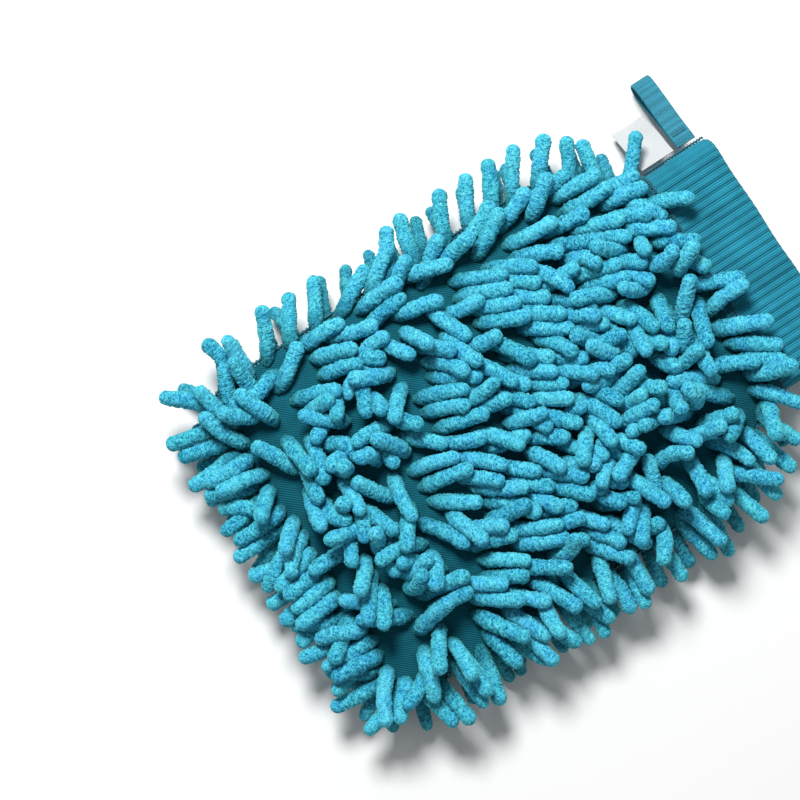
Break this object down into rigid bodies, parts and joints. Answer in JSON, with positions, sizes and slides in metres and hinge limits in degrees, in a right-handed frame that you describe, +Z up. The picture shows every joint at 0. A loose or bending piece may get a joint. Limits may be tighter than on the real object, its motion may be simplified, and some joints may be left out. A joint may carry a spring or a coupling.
{
  "type": "chenille wash mitt",
  "caption": "Double-sided chenille wash mitt with a padded, lined hand pocket, an elastic rib-knit cuff, a hanging loop and a blank care label.",
  "frame": {"origin": "middle of the footprint, on the surface that the mitt lies on, back pile down", "axes": "+Y from the closed end to the cuff, +Z up through the front pile, +X across the mitt with the hanging loop on the -X side"},
  "size_m": [0.214, 0.29, 0.0483],
  "materials": {
    "chenille": "soft bright azure microfibre chenille, granular, no gloss",
    "backing_knit": "fine-ribbed matt teal knit",
    "lining_cloth": "thin pale grey-blue tricot",
    "foam": "cream open-cell foam",
    "thread": "slightly shiny polyester thread",
    "rib_knit": "two-by-two rib knit, matt",
    "elastic": "white braided elastic",
    "webbing": "herringbone woven tape",
    "label_satin": "white satin ribbon, blank"
  },
  "bodies": {
    "mitt": {"front_lining": "lining_cloth", "front_foam_pad": "foam", "front_pile_fabric": "backing_knit", "back_lining": "lining_cloth", "back_foam_pad": "foam", "back_pile_fabric": "backing_knit", "front_chenille_row_01": "chenille", "back_chenille_row_01": "chenille", "front_chenille_row_02": "chenille", "back_chenille_row_02": "chenille", "front_chenille_row_03": "chenille", "back_chenille_row_03": "chenille", "front_chenille_row_04": "chenille", "back_chenille_row_04": "chenille", "front_chenille_row_05": "chenille", "back_chenille_row_05": "chenille", "front_chenille_row_06": "chenille", "back_chenille_row_06": "chenille", "front_chenille_row_07": "chenille", "back_chenille_row_07": "chenille", "front_chenille_row_08": "chenille", "back_chenille_row_08": "chenille", "front_chenille_row_09": "chenille", "back_chenille_row_09": "chenille", "front_chenille_row_10": "chenille", "back_chenille_row_10": "chenille", "front_chenille_row_11": "chenille", "back_chenille_row_11": "chenille", "front_chenille_row_12": "chenille", "back_chenille_row_12": "chenille", "front_chenille_row_13": "chenille", "back_chenille_row_13": "chenille", "front_chenille_row_14": "chenille", "back_chenille_row_14": "chenille", "front_chenille_row_15": "chenille", "back_chenille_row_15": "chenille", "front_left_edge_fingers": "chenille", "front_right_edge_fingers": "chenille", "front_end_edge_fingers": "chenille", "back_left_edge_fingers": "chenille", "back_right_edge_fingers": "chenille", "back_end_edge_fingers": "chenille", "edge_seam": "thread", "rib_cuff": "rib_knit", "cuff_elastic": "elastic", "cuff_join_stitching": "thread", "cuff_side_seam": "thread"},
    "loop": {"hanging_loop": "webbing"},
    "label": {"care_label": "label_satin"}
  },
  "joints": [
    {"name": "loop_swing", "type": "hinge", "parent": "mitt", "child": "loop", "pos_m": [-0.0624, 0.136, 0.02305], "axis": [0, 1, 0], "range_deg": [0, 110]},
    {"name": "label_swing", "type": "hinge", "parent": "mitt", "child": "label", "pos_m": [-0.0624, 0.12, 0.02305], "axis": [0, 1, 0], "range_deg": [0, 120]}
  ]
}
